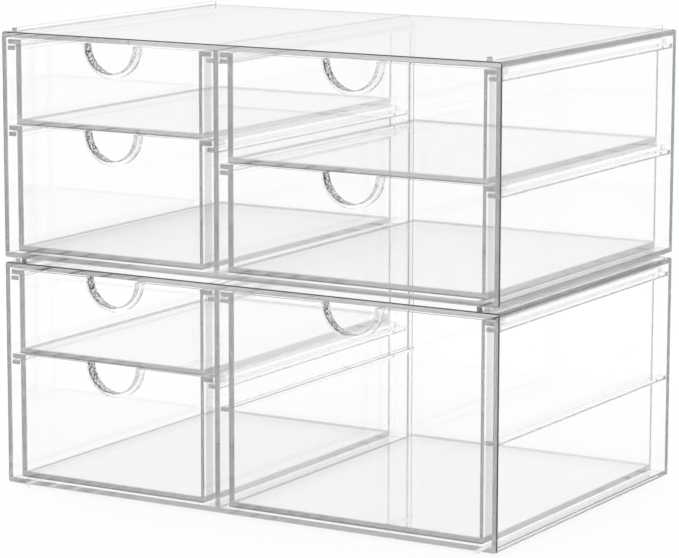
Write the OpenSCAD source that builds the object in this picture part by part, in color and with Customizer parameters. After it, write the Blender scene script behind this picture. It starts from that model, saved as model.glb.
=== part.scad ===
// A clear stacking organizer: two moulded cases, one standing on the other. Each case
// has a left and a right bay. Drawers hang in the bays by flanges that run on rails.

/* [Cases] */
// Width of each case
case_w = 320; // [290:1:380]
// Depth of each case, front to back
case_d = 213.4; // [170:0.2:260]
// Height of each case, between its underside and its top face
case_h = 129.3; // [118:0.1:160]
// Thickness of the case walls, floor and top
case_wall = 3.2; // [2:0.1:4]
// Thickness of the divider between the bays
divider_t = 3.2; // [2:0.1:4]
// Width of the left bay
left_bay_w = 139.4; // [110:0.2:160]
// Radius of the rounded outer edges
edge_r = 2; // [0.5:0.1:3]
// Radius of the outer edges around the open front
front_edge_r = 0.6; // [0.3:0.1:1.5]

/* [Feet and stacking ribs] */
// Height of the long feet under each case
foot_h = 2.7; // [1.5:0.1:5]
// Width of each foot
foot_w = 3.3; // [2:0.1:6]
// Distance from the side of the case to the outer face of a foot
foot_inset = 10.8; // [8:0.1:20]
// Width of each rib on the top face
rib_w = 3.3; // [2:0.1:5]
// Side gap between a foot and the rib beside it
rib_gap = 1.1; // [0.4:0.1:2]
// Gap between the top of a rib and the case that stands above it
rib_headroom = 0.3; // [0.1:0.1:1]
// Distance from the front of the case to the ribs and feet
rib_front = 0.6; // [0.5:0.1:10]
// Distance from the back of the case to the ribs and feet
rib_rear = 4.8; // [2:0.1:20]

/* [Rails] */
// How far each rail stands out from its wall
rail_reach = 5.1; // [3.5:0.1:7]
// Thickness of each rail
rail_t = 2.4; // [1.6:0.1:3.5]
// Distance from the front of the case to the front end of a rail
rail_recess = 1.3; // [0.5:0.1:6]
// Gap between the rear end of a rail and the back of the case
rail_rear_gap = 0.8; // [0.4:0.1:3]
// Radius of the rounded edges of a rail
rail_r = 0.6; // [0.2:0.1:0.7]

/* [Drawers] */
// Height of the short drawers in the left bays
left_short_h = 48.3; // [35:0.1:60]
// Height of the top drawer in the upper right bay
right_top_h = 60.2; // [40:0.1:75]
// Thickness of the drawer walls
drawer_wall = 2.5; // [1.6:0.1:3.5]
// Thickness of the drawer floors
floor_t = 2.5; // [1.6:0.1:3.5]
// Thickness of the side flanges
flange_t = 2.6; // [1.6:0.1:3.5]
// Outer radius of the drawers' rear corners
corner_r = 4; // [3.6:0.1:8]
// Setback of the drawer fronts from the front of the case
front_setback = 0.8; // [0.3:0.1:3]

/* [Drawer clearances] */
// Gap behind a closed drawer
rear_gap = 3.2; // [0.5:0.1:8]
// Gap between the top of a bay and its first drawer
top_gap = 1.1; // [0.5:0.1:3]
// Gap between the floor of a bay and its last drawer
bottom_gap = 1; // [0.4:0.1:3]
// Gap between two drawers in one bay
stack_gap = 0.8; // [0.4:0.1:2]
// Gap between the left drawers and the rails on the outer wall
left_wall_gap = 1; // [0.4:0.1:2]
// Gap between the left drawers and the rails on the divider
left_divider_gap = 3.3; // [0.4:0.1:4]
// Gap between the right drawers and the rails on the divider
right_divider_gap = 0.4; // [0.4:0.1:2]
// Gap between the right drawers and the rails on the outer wall
right_wall_gap = 0.9; // [0.4:0.1:2]
// Gap between the edge of a flange and the wall beside it
flange_side_gap = 0.5; // [0.3:0.1:1]
// Gap between the left drawers' flanges and the divider
flange_divider_gap = 1.6; // [0.3:0.1:2]
// Gap between a flange and the rail below it
flange_gap = 1.1; // [0.3:0.1:1.5]

/* [Finger notches] */
// Radius of the half-round notch in a drawer front
notch_r = 16; // [10:0.5:22]
// Radius of the rounded edge around a notch
lip_r = 0.5; // [0.2:0.1:1.5]
// Depth of the collar behind a notch, from the drawer front
collar_d = 6.7; // [5:0.1:12]
// Wall of the collar at its rear end
collar_t = 2.3; // [1.5:0.1:3.5]
// How much wider the inside of the collar is at its rear end than at the front
collar_flare = 0.5; // [0:0.1:0.8]
// How far the left drawers' notches sit to the right of the middle
left_notch_shift = 1.2; // [-4:0.1:4]
// How far the right drawers' notches sit to the left of the middle
right_notch_shift = 2.7; // [-4:0.1:4]

/* [Hidden] */
$fn = 64;

// One overlap for cuts that run past a face and for parts that grow out of a wall
eps = 0.5;
clear_plastic = [0.9, 0.93, 0.94, 0.45];

// Levels of the two cases, with the feet on z = 0
lower_z = foot_h;
upper_z = lower_z + case_h + foot_h;
front_y = -case_d / 2;

// The bays between the walls, measured across the case
left_bay_x = -case_w / 2 + case_wall;
divider_x = left_bay_x + left_bay_w;
right_bay_x = divider_x + divider_t;
right_bay_w = case_w / 2 - case_wall - right_bay_x;
bay_d = case_d - case_wall;
bay_h = case_h - 2 * case_wall;

// The drawers, which fill their bays but for the rails and the clearances
left_drawer_x = left_bay_x + rail_reach + left_wall_gap;
left_drawer_w = left_bay_w - 2 * rail_reach - left_wall_gap - left_divider_gap;
left_flanges = [rail_reach + left_wall_gap - flange_side_gap,
    rail_reach + left_divider_gap - flange_divider_gap];
right_drawer_x = right_bay_x + rail_reach + right_divider_gap;
right_drawer_w = right_bay_w - 2 * rail_reach - right_divider_gap - right_wall_gap;
right_flanges = [rail_reach + right_divider_gap - flange_side_gap,
    rail_reach + right_wall_gap - flange_side_gap];
drawer_y = front_y + front_setback;
drawer_d = bay_d - front_setback - rear_gap;
full_h = bay_h - top_gap - bottom_gap;
left_deep_h = full_h - left_short_h - stack_gap;
right_bottom_h = full_h - right_top_h - stack_gap;

// Heights above a case's underside
drawer_low_z = case_wall + bottom_gap;
drawer_high_z = case_h - case_wall - top_gap;

// Distance from the top of a drawer down to the top of its rails
rail_drop = flange_t + flange_gap;

rib_h = foot_h - rib_headroom;
rib_inset = foot_inset - rib_gap - rib_w;
rib_end_r = 1;

// A rectangle with its lower left corner at the origin and all corners rounded
module round_rect(w, h, r) {
    translate([r, 0]) square([w - 2 * r, h]);
    translate([0, r]) square([w, h - 2 * r]);
    for (x = [r, w - r], y = [r, h - r])
        translate([x, y]) circle(r);
}

// A rectangle with one radius at its two near corners and one at its two far corners (+Y)
module end_round_rect(w, d, near_r, far_r) {
    translate([0, near_r]) square([w, d - near_r - far_r]);
    translate([near_r, 0]) square([w - 2 * near_r, d / 2]);
    translate([far_r, d / 2]) square([w - 2 * far_r, d / 2]);
    for (x = [near_r, w - near_r])
        translate([x, near_r]) circle(near_r);
    for (x = [far_r, w - far_r])
        translate([x, d - far_r]) circle(far_r);
}

// A rectangle with only its two far corners (+Y) rounded
module rear_round_rect(w, d, r) {
    square([w, d - r]);
    translate([r, 0]) square([w - 2 * r, d]);
    for (x = [r, w - r])
        translate([x, d - r]) circle(r);
}

// A long bar on the plane z = 0 that follows the depth of the case
module depth_bar(w, h) {
    length = case_d - rib_front - rib_rear;
    translate([0, front_y + rib_front, 0])
        linear_extrude(h) round_rect(w, length, rib_end_r);
}

// The same thing at both sides of the case, from its x position on the right side
module both_sides(x, w) {
    translate([x, 0, 0]) children();
    translate([-x - w, 0, 0]) children();
}

// The outside of a case, rounded as seen from the front, from above and from the side
module case_block() {
    intersection() {
        translate([-case_w / 2, -front_y, 0]) rotate([90, 0, 0])
            linear_extrude(case_d) round_rect(case_w, case_h, edge_r);
        translate([-case_w / 2, front_y, 0])
            linear_extrude(case_h) end_round_rect(case_w, case_d, front_edge_r, edge_r);
        translate([-case_w / 2, front_y, case_h]) rotate([0, 90, 0])
            linear_extrude(case_w) end_round_rect(case_h, case_d, front_edge_r, edge_r);
    }
}

// The open space of one bay
module bay(x, w) {
    translate([x, front_y - eps, case_wall]) cube([w, bay_d + eps, bay_h]);
}

// One pair of rails, x and w being those of the bay; rail_z is their top
module rail_pair(x, w, rail_z) {
    length = bay_d - rail_recess - rail_rear_gap;
    for (side_x = [x - eps, x + w - rail_reach])
        translate([side_x, front_y + rail_recess + length, rail_z - rail_t]) rotate([90, 0, 0])
            linear_extrude(length) round_rect(rail_reach + eps, rail_t, rail_r);
}

// A whole case standing with the underside of its feet on z = 0
module case_shell() {
    left_mid_z = drawer_low_z + left_deep_h - rail_drop;
    right_mid_z = drawer_low_z + right_bottom_h - rail_drop;
    top_rail_z = drawer_high_z - rail_drop;
    both_sides(case_w / 2 - foot_inset - foot_w, foot_w) depth_bar(foot_w, foot_h + eps);
    translate([0, 0, foot_h]) {
        difference() {
            case_block();
            bay(left_bay_x, left_bay_w);
            bay(right_bay_x, right_bay_w);
        }
        for (z = [left_mid_z, top_rail_z]) rail_pair(left_bay_x, left_bay_w, z);
        for (z = [right_mid_z, top_rail_z]) rail_pair(right_bay_x, right_bay_w, z);
        translate([0, 0, case_h - eps])
            both_sides(case_w / 2 - rib_inset - rib_w, rib_w) depth_bar(rib_w, rib_h + eps);
    }
}

// Section of a notch's edge and collar: x is the distance from its axis, y the depth
module lip_section() {
    rear_r = notch_r + collar_flare;
    outer_r = rear_r + collar_t;
    difference() {
        polygon([[notch_r, 0], [outer_r, 0], [outer_r, collar_d], [rear_r, collar_d], [notch_r, lip_r]]);
        difference() {
            translate([notch_r - eps, -eps]) square([lip_r + eps, lip_r + eps]);
            translate([notch_r + lip_r, lip_r]) circle(lip_r);
        }
    }
}

// The half-round notch with its rounded edge and collar, axis on the drawer's top edge
module notch_lip() {
    rotate([-90, 0, 0]) rotate_extrude(angle = 180) lip_section();
}

// A drawer w wide and h high, with its front lower left corner at the origin and its notch
// at notch_x. The flanges are as wide as flanges says, left and right.
module drawer(w, h, flanges, notch_x) {
    inner_r = corner_r - drawer_wall;
    difference() {
        linear_extrude(h) rear_round_rect(w, drawer_d, corner_r);
        translate([drawer_wall, drawer_wall, floor_t])
            linear_extrude(h) rear_round_rect(w - 2 * drawer_wall, drawer_d - 2 * drawer_wall, inner_r);
        translate([notch_x, drawer_wall + eps, h]) rotate([90, 0, 0])
            cylinder(r = notch_r + lip_r, h = drawer_wall + 2 * eps);
    }
    translate([notch_x, 0, h]) notch_lip();
    translate([-flanges[0], 0, h - flange_t])
        cube([flanges[0] + eps, drawer_d - corner_r, flange_t]);
    translate([w - eps, 0, h - flange_t])
        cube([flanges[1] + eps, drawer_d - corner_r, flange_t]);
}

// A drawer in the left or right bay, with its floor at z
module left_drawer(h, z) {
    color(clear_plastic) translate([left_drawer_x, drawer_y, z])
        drawer(left_drawer_w, h, left_flanges, left_drawer_w / 2 + left_notch_shift);
}

module right_drawer(h, z) {
    color(clear_plastic) translate([right_drawer_x, drawer_y, z])
        drawer(right_drawer_w, h, right_flanges, right_drawer_w / 2 - right_notch_shift);
}

module lower_case() {
    color(clear_plastic) case_shell();
}

module upper_case() {
    color(clear_plastic) translate([0, 0, upper_z - foot_h]) case_shell();
}

module lower_left_short_drawer() {
    left_drawer(left_short_h, lower_z + drawer_high_z - left_short_h);
}

module lower_left_deep_drawer() {
    left_drawer(left_deep_h, lower_z + drawer_low_z);
}

module lower_right_tall_drawer() {
    right_drawer(full_h, lower_z + drawer_low_z);
}

module upper_left_short_drawer() {
    left_drawer(left_short_h, upper_z + drawer_high_z - left_short_h);
}

module upper_left_deep_drawer() {
    left_drawer(left_deep_h, upper_z + drawer_low_z);
}

module upper_right_top_drawer() {
    right_drawer(right_top_h, upper_z + drawer_high_z - right_top_h);
}

module upper_right_bottom_drawer() {
    right_drawer(right_bottom_h, upper_z + drawer_low_z);
}

lower_case();
upper_case();
lower_left_short_drawer();
lower_left_deep_drawer();
lower_right_tall_drawer();
upper_left_short_drawer();
upper_left_deep_drawer();
upper_right_top_drawer();
upper_right_bottom_drawer();
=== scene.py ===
"""Looks of a clear stacking drawer organizer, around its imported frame."""
import math

import bpy
from mathutils import Matrix, Vector


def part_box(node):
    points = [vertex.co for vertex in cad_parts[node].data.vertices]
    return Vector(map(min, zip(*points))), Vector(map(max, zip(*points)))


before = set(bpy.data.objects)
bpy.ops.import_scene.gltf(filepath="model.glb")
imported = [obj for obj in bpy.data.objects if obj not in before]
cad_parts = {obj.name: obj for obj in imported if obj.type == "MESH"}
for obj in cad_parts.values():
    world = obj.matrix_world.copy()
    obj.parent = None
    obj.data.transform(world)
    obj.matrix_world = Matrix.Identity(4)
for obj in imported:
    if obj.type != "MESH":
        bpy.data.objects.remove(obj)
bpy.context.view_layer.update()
MM = 0.001

# The photograph's camera, fitted to the corners of the two cases
CAMERA_AZIMUTH = math.radians(30.804)
CAMERA_ELEVATION = math.radians(9.828)
CAMERA_ROLL = math.radians(0.105)
CAMERA_DISTANCE = 1868.1 * MM
CAMERA_SHIFT_RIGHT = -0.743 * MM
CAMERA_SHIFT_UP = 118.695 * MM
CAMERA_NEAREST = 0.01
CAMERA_FARTHEST = 100.0
SENSOR_WIDTH = 36.0
LENS = 170.03

# Clear plastic: how light bends in it, and how much of it is lost over each metre of plastic
PLASTIC_IOR = 1.49
PLASTIC_LOSS = 0.5
# Where a face throws all the light back inside, this share goes straight on through the face
# instead, dimmed by this colour. It greys the edges as evenly as the photograph shows them.
STRAIGHT_SHARE = 0.13
STRAIGHT_COLOR = (0.42, 0.42, 0.42, 1)
# Fresnel gives 1 where all the light is thrown back; a little less catches rounding
FULL_REFLECTION = 0.9999
# The faces wave by this much over this distance
WAVE_HEIGHT = 0.006 * MM
WAVE_LENGTH = 22.0 * MM
WAVE_DETAIL = 1.0
# Faint hazy patches: the noise values at which the haze starts and is full
HAZE_SIZE = 9.0 * MM
HAZE_DETAIL = 3.0
HAZE_START = 0.5
HAZE_FULL = 0.75
HAZE_ROUGHNESS = 0.012

# Finger notches: speckled painted shade on the face inside each, where the photograph shows
# speckles, and the noise values at which it is faintest and fullest
NOTCH_X = {"left": -87.05 * MM, "right": 68.35 * MM}
NOTCH_FACE_RADIUS = 16.6 * MM
NOTCH_DEPTH = 7.2 * MM
NOTCH_SHADE_SIZE = 1.3 * MM
NOTCH_SHADE_DETAIL = 4.0
NOTCH_SHADE_START = 0.4
NOTCH_SHADE_FULL = 0.6
NOTCH_SHADE_LEAST = 0.1
NOTCH_SHADE_MOST = 1.0
# The painted shade fades from left to right across the notch, down to this share
NOTCH_SHADE_FAR_SIDE = 0.3
# Colour of the speckled painted shade in the notch
NOTCH_SHADE_COLOR = (0.16, 0.16, 0.16, 1)

# Drawers: the wall's thickness, and how far the left and the right flange stand out
DRAWER_WALL = 2.5 * MM
FLANGE = {"left": (5.6 * MM, 6.8 * MM), "right": (5.0 * MM, 5.5 * MM)}
# Fine lines of painted shade where the walls meet the floor, inside, and along the lower front edge
SHADE_LINE_WIDTH = 0.7 * MM
SHADE_LINE_COLOR = (0.2, 0.2, 0.2, 1)
FLOOR_SHADE_LINE_SHARE = 0.3
LOWER_EDGE_SHADE_SHARE = 0.6
# A mask reaches this far past the face that it lies on, to catch rounding
SLACK = 0.05 * MM
# The pale grey band of painted shade that the photograph shows on the outside of each right wall:
# where it starts and ends behind the drawer's front
SHADE_BAND_START = 2.9 * MM
SHADE_BAND_END = 9.8 * MM
SHADE_BAND_SHARE = 0.25
SHADE_BAND_COLOR = (0.35, 0.35, 0.35, 1)

# Cases: a fine line of painted shade on the rounded edge around each open front. The stacking ribs
# above the case's top have none.
CASE_TOP_ABOVE_FEET = 132.0 * MM
EDGE_SHADE_WIDTH = 0.62 * MM
EDGE_SHADE_SHARE = 0.85
EDGE_SHADE_COLOR = (0.1, 0.1, 0.1, 1)

# Studio: how bright its surroundings are below eye level, just above it and overhead
SWEEP_LIGHT = 1.0
WALL_LIGHT = 0.9
CEILING_LIGHT = 0.62
# Sine of the heights at which the walls begin and end, and of half the blend where they begin
WALL_START = 0.0
WALL_END = 0.45
WALL_BLEND = 0.04
# The floor glows as the backdrop does, less what the studio's light adds to it
FLOOR_RADIUS = 900.0 * MM
FLOOR_SIDES = 96
FLOOR_COLOR = 0.16
FLOOR_GLOW = 0.9

# Light crosses many faces on its way through the cases and drawers
BOUNCES = 48


def make_camera():
    """The camera stands to the right and a little above, and looks at the organizer's middle."""
    sin_a, cos_a = math.sin(CAMERA_AZIMUTH), math.cos(CAMERA_AZIMUTH)
    sin_e, cos_e = math.sin(CAMERA_ELEVATION), math.cos(CAMERA_ELEVATION)
    back = Vector((sin_a * cos_e, -cos_a * cos_e, sin_e))
    right = Vector((cos_a, sin_a, 0.0))
    up = back.cross(right)
    cos_r, sin_r = math.cos(CAMERA_ROLL), math.sin(CAMERA_ROLL)
    aim = right * CAMERA_SHIFT_RIGHT + up * CAMERA_SHIFT_UP
    x_axis = right * cos_r + up * sin_r
    y_axis = up * cos_r - right * sin_r
    data = bpy.data.cameras.new("camera")
    data.sensor_width = SENSOR_WIDTH
    data.lens = LENS
    data.clip_start = CAMERA_NEAREST
    data.clip_end = CAMERA_FARTHEST
    camera = bpy.data.objects.new("camera", data)
    bpy.context.scene.collection.objects.link(camera)
    rotation = Matrix((x_axis, y_axis, back)).transposed().to_4x4()
    camera.matrix_world = Matrix.Translation(aim + back * CAMERA_DISTANCE) @ rotation
    bpy.context.scene.camera = camera


def math_node(tree, operation, *values):
    """A Math node on some inputs, each a number or another node's output."""
    node = tree.nodes.new("ShaderNodeMath")
    node.operation = operation
    for socket, value in zip(node.inputs, values):
        if isinstance(value, (int, float)):
            socket.default_value = value
        else:
            tree.links.new(value, socket)
    return node.outputs["Value"]


def above(tree, value, limit):
    """1 where a value is more than a number, and 0 elsewhere."""
    return math_node(tree, "GREATER_THAN", value, limit)


def under(tree, value, limit):
    """1 where a value is less than a number, and 0 elsewhere."""
    return math_node(tree, "LESS_THAN", value, limit)


def all_of(tree, first, *others):
    """The product of some masks, which is 1 only where all of them are 1."""
    for mask in others:
        first = math_node(tree, "MULTIPLY", first, mask)
    return first


def within(tree, value, low, high):
    """1 where a value lies between two numbers, and 0 elsewhere."""
    return all_of(tree, above(tree, value, low), under(tree, value, high))


def map_range(tree, value, low, high, to_low, to_high):
    """Value spread from between low and high to between to_low and to_high, and held there."""
    node = tree.nodes.new("ShaderNodeMapRange")
    tree.links.new(value, node.inputs["Value"])
    node.inputs["From Min"].default_value = low
    node.inputs["From Max"].default_value = high
    node.inputs["To Min"].default_value = to_low
    node.inputs["To Max"].default_value = to_high
    return node.outputs["Result"]


def object_place(tree):
    """A point's place as the organizer stands at rest, which moves with the piece."""
    return tree.nodes.new("ShaderNodeTexCoord").outputs["Object"]


def split_axes(tree, place):
    """The X, Y and Z of a place or a direction."""
    split = tree.nodes.new("ShaderNodeSeparateXYZ")
    tree.links.new(place, split.inputs["Vector"])
    return split.outputs["X"], split.outputs["Y"], split.outputs["Z"]


def noise(tree, place, size, detail):
    """Soft random spots about as far apart as size."""
    node = tree.nodes.new("ShaderNodeTexNoise")
    node.inputs["Scale"].default_value = 1.0 / size
    node.inputs["Detail"].default_value = detail
    tree.links.new(place, node.inputs["Vector"])
    return node.outputs["Fac"]


def mix_shaders(tree, factor, first, second):
    """The first shader where the factor is 0, and the second where it is 1."""
    node = tree.nodes.new("ShaderNodeMixShader")
    tree.links.new(factor, node.inputs[0])
    tree.links.new(first, node.inputs[1])
    tree.links.new(second, node.inputs[2])
    return node.outputs["Shader"]


def clear_plastic(name):
    """Clear moulded plastic. Light thrown back and forth inside it fades, which greys its edges."""
    material = bpy.data.materials.new(name)
    material.use_nodes = True
    tree = material.node_tree
    place = object_place(tree)
    shader = tree.nodes["Principled BSDF"]
    shader.inputs["Base Color"].default_value = (1, 1, 1, 1)
    shader.inputs["Transmission Weight"].default_value = 1.0
    shader.inputs["IOR"].default_value = PLASTIC_IOR
    patches = noise(tree, place, HAZE_SIZE, HAZE_DETAIL)
    haze = map_range(tree, patches, HAZE_START, HAZE_FULL, 0.0, HAZE_ROUGHNESS)
    tree.links.new(haze, shader.inputs["Roughness"])
    bump = tree.nodes.new("ShaderNodeBump")
    bump.inputs["Distance"].default_value = WAVE_HEIGHT
    tree.links.new(noise(tree, place, WAVE_LENGTH, WAVE_DETAIL), bump.inputs["Height"])
    tree.links.new(bump.outputs["Normal"], shader.inputs["Normal"])
    fresnel = tree.nodes.new("ShaderNodeFresnel")
    fresnel.inputs["IOR"].default_value = PLASTIC_IOR
    tree.links.new(bump.outputs["Normal"], fresnel.inputs["Normal"])
    thrown_back = above(tree, fresnel.outputs["Fac"], FULL_REFLECTION)
    share = math_node(tree, "MULTIPLY", thrown_back, STRAIGHT_SHARE)
    straight = tree.nodes.new("ShaderNodeBsdfTransparent")
    straight.inputs["Color"].default_value = STRAIGHT_COLOR
    surface = mix_shaders(tree, share, shader.outputs["BSDF"], straight.outputs["BSDF"])
    output = tree.nodes["Material Output"]
    tree.links.new(surface, output.inputs["Surface"])
    loss = tree.nodes.new("ShaderNodeVolumeAbsorption")
    loss.inputs["Color"].default_value = (0, 0, 0, 1)
    loss.inputs["Density"].default_value = PLASTIC_LOSS
    tree.links.new(loss.outputs["Volume"], output.inputs["Volume"])
    return material


def add_painted_shade(material, mask, share, color):
    """Paints shade: lays a matt share of one colour over a material where the mask is 1."""
    tree = material.node_tree
    factor = math_node(tree, "MULTIPLY", mask, share)
    shade_bsdf = tree.nodes.new("ShaderNodeBsdfDiffuse")
    shade_bsdf.inputs["Color"].default_value = color
    surface = tree.nodes["Material Output"].inputs["Surface"]
    plain = surface.links[0].from_socket
    tree.links.new(mix_shaders(tree, factor, plain, shade_bsdf.outputs["BSDF"]), surface)


def case_plastic(name, node_name):
    """Clear plastic with a fine line of painted shade on the rounded edges around the open front.
    """
    material = clear_plastic(name)
    tree = material.node_tree
    low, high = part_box(node_name)
    case_top = low[2] + CASE_TOP_ABOVE_FEET
    x, y, z = split_axes(tree, object_place(tree))
    side = above(tree, math_node(tree, "ABSOLUTE", x), high[0] - EDGE_SHADE_WIDTH)
    top = above(tree, z, case_top - EDGE_SHADE_WIDTH)
    front = under(tree, y, low[1] + EDGE_SHADE_WIDTH)
    below_ribs = under(tree, z, case_top)
    edge_shade = all_of(tree, math_node(tree, "MAXIMUM", side, top), front, below_ribs)
    # Lays the painted shade on the front edge
    add_painted_shade(material, edge_shade, EDGE_SHADE_SHARE, EDGE_SHADE_COLOR)
    return material


def add_notch_shade(material, axes, notch_x, front_y, top_z):
    """Paints speckled shade on the face inside a finger notch, most on its left."""
    tree = material.node_tree
    x, y, z = axes
    aside = math_node(tree, "SUBTRACT", x, notch_x)
    below = math_node(tree, "SUBTRACT", z, top_z)
    squares = math_node(tree, "ADD", math_node(tree, "MULTIPLY", aside, aside),
                        math_node(tree, "MULTIPLY", below, below))
    inside = under(tree, math_node(tree, "SQRT", squares), NOTCH_FACE_RADIUS)
    near_front = under(tree, y, front_y + NOTCH_DEPTH)
    fading = map_range(tree, aside, -NOTCH_FACE_RADIUS, NOTCH_FACE_RADIUS, 1.0, NOTCH_SHADE_FAR_SIDE)
    spots = noise(tree, object_place(tree), NOTCH_SHADE_SIZE, NOTCH_SHADE_DETAIL)
    speckled_shade = map_range(tree, spots, NOTCH_SHADE_START, NOTCH_SHADE_FULL, NOTCH_SHADE_LEAST, NOTCH_SHADE_MOST)
    # Lays the speckled painted shade over the notch's face
    add_painted_shade(material, all_of(tree, inside, near_front, fading), speckled_shade, NOTCH_SHADE_COLOR)


def add_floor_shade_lines(material, axes, x_walls, y_walls, floor_z):
    """Paints a line of shade around a drawer's floor, inside, between its two side and two end
    walls.
    """
    tree = material.node_tree
    x, y, z = axes
    (left, right), (front, rear) = x_walls, y_walls
    middle = all_of(tree, within(tree, x, left + SHADE_LINE_WIDTH, right - SHADE_LINE_WIDTH),
                    within(tree, y, front + SHADE_LINE_WIDTH, rear - SHADE_LINE_WIDTH))
    cavity = all_of(tree, within(tree, x, left - SLACK, right + SLACK),
                    within(tree, y, front - SLACK, rear + SLACK))
    around = math_node(tree, "SUBTRACT", cavity, middle)
    shade_line = all_of(tree, around, within(tree, z, floor_z - SLACK, floor_z + SHADE_LINE_WIDTH))
    add_painted_shade(material, shade_line, FLOOR_SHADE_LINE_SHARE, SHADE_LINE_COLOR)


def drawer_plastic(name, node_name):
    """Clear plastic with painted shade where the photograph shows fine dark marks on each drawer.
    """
    material = clear_plastic(name)
    tree = material.node_tree
    low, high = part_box(node_name)
    side = "left" if "_left_" in node_name else "right"
    left, right = low[0] + FLANGE[side][0], high[0] - FLANGE[side][1]
    axes = split_axes(tree, object_place(tree))
    x, y, z = axes
    add_notch_shade(material, axes, NOTCH_X[side], low[1], high[2])
    add_floor_shade_lines(material, axes, (left + DRAWER_WALL, right - DRAWER_WALL),
                    (low[1] + DRAWER_WALL, high[1] - DRAWER_WALL), low[2] + DRAWER_WALL)
    # A line of painted shade along the lower front edge
    lower_edge_shade = all_of(tree, under(tree, y, low[1] + SLACK), under(tree, z, low[2] + SHADE_LINE_WIDTH))
    add_painted_shade(material, lower_edge_shade, LOWER_EDGE_SHADE_SHARE, SHADE_LINE_COLOR)
    # A pale grey band of painted shade on the outside of the right wall
    shade_band = all_of(tree, above(tree, x, right - SLACK),
                  within(tree, y, low[1] + SHADE_BAND_START, low[1] + SHADE_BAND_END))
    add_painted_shade(material, shade_band, SHADE_BAND_SHARE, SHADE_BAND_COLOR)
    return material


def seen_light(tree):
    """1 for light that reaches the camera straight, off gloss or through clear plastic."""
    path = tree.nodes.new("ShaderNodeLightPath")
    straight = math_node(tree, "MAXIMUM", path.outputs["Is Camera Ray"],
                         path.outputs["Is Glossy Ray"])
    return math_node(tree, "MAXIMUM", straight, path.outputs["Is Transmission Ray"])


def make_floor():
    """A pale disc that the organizer stands on and that keeps its faint shadow."""
    mesh = bpy.data.meshes.new("floor")
    turns = [math.tau * i / FLOOR_SIDES for i in range(FLOOR_SIDES)]
    corners = [(FLOOR_RADIUS * math.cos(a), FLOOR_RADIUS * math.sin(a), 0.0) for a in turns]
    mesh.from_pydata(corners, [], [tuple(range(FLOOR_SIDES))])
    floor = bpy.data.objects.new("floor", mesh)
    bpy.context.scene.collection.objects.link(floor)
    material = bpy.data.materials.new("floor")
    material.use_nodes = True
    tree = material.node_tree
    shader = tree.nodes["Principled BSDF"]
    shader.inputs["Base Color"].default_value = (FLOOR_COLOR, FLOOR_COLOR, FLOOR_COLOR, 1)
    shader.inputs["Roughness"].default_value = 1.0
    shader.inputs["Specular IOR Level"].default_value = 0.0
    shader.inputs["Emission Color"].default_value = (1, 1, 1, 1)
    glow = math_node(tree, "MULTIPLY", seen_light(tree), FLOOR_GLOW)
    tree.links.new(glow, shader.inputs["Emission Strength"])
    mesh.materials.append(material)


def ramp_place(sine):
    """Where the sine of a height lies on a ramp from straight down, 0, to straight up, 1."""
    return 0.5 + 0.5 * sine


def make_world():
    """White to the camera. To the object it is white below eye level and less bright above."""
    world = bpy.data.worlds.new("studio")
    bpy.context.scene.world = world
    world.use_nodes = True
    tree = world.node_tree
    background = tree.nodes["Background"]
    direction = tree.nodes.new("ShaderNodeTexCoord").outputs["Generated"]
    height = split_axes(tree, direction)[2]
    ramp = tree.nodes.new("ShaderNodeValToRGB")
    ramp.color_ramp.interpolation = "EASE"
    # The same rule as ramp_place
    tree.links.new(math_node(tree, "MULTIPLY_ADD", height, 0.5, 0.5), ramp.inputs["Fac"])
    stops = [(ramp_place(WALL_START - WALL_BLEND), SWEEP_LIGHT),
             (ramp_place(WALL_START + WALL_BLEND), WALL_LIGHT),
             (ramp_place(WALL_END), WALL_LIGHT), (ramp_place(1.0), CEILING_LIGHT)]
    elements = ramp.color_ramp.elements
    elements.remove(elements[1])
    for index, (place, light) in enumerate(stops):
        element = elements[0] if index == 0 else elements.new(place)
        element.position = place
        element.color = (light, light, light, 1)
    to_camera = tree.nodes.new("ShaderNodeLightPath").outputs["Is Camera Ray"]
    mix = tree.nodes.new("ShaderNodeMix")
    mix.data_type = "RGBA"
    tree.links.new(to_camera, mix.inputs["Factor"])
    tree.links.new(ramp.outputs["Color"], mix.inputs["A"])
    mix.inputs["B"].default_value = (1, 1, 1, 1)
    tree.links.new(mix.outputs["Result"], background.inputs["Color"])
    background.inputs["Strength"].default_value = 1.0


make_camera()
make_world()
make_floor()
for name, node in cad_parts.items():
    dress = case_plastic if name.endswith("_case") else drawer_plastic
    node.data.materials.clear()
    node.data.materials.append(dress("clear_" + name, name))

scene = bpy.context.scene
scene.view_settings.view_transform = "Standard"
scene.cycles.max_bounces = BOUNCES
scene.cycles.transmission_bounces = BOUNCES
scene.cycles.glossy_bounces = BOUNCES
scene.cycles.transparent_max_bounces = BOUNCES
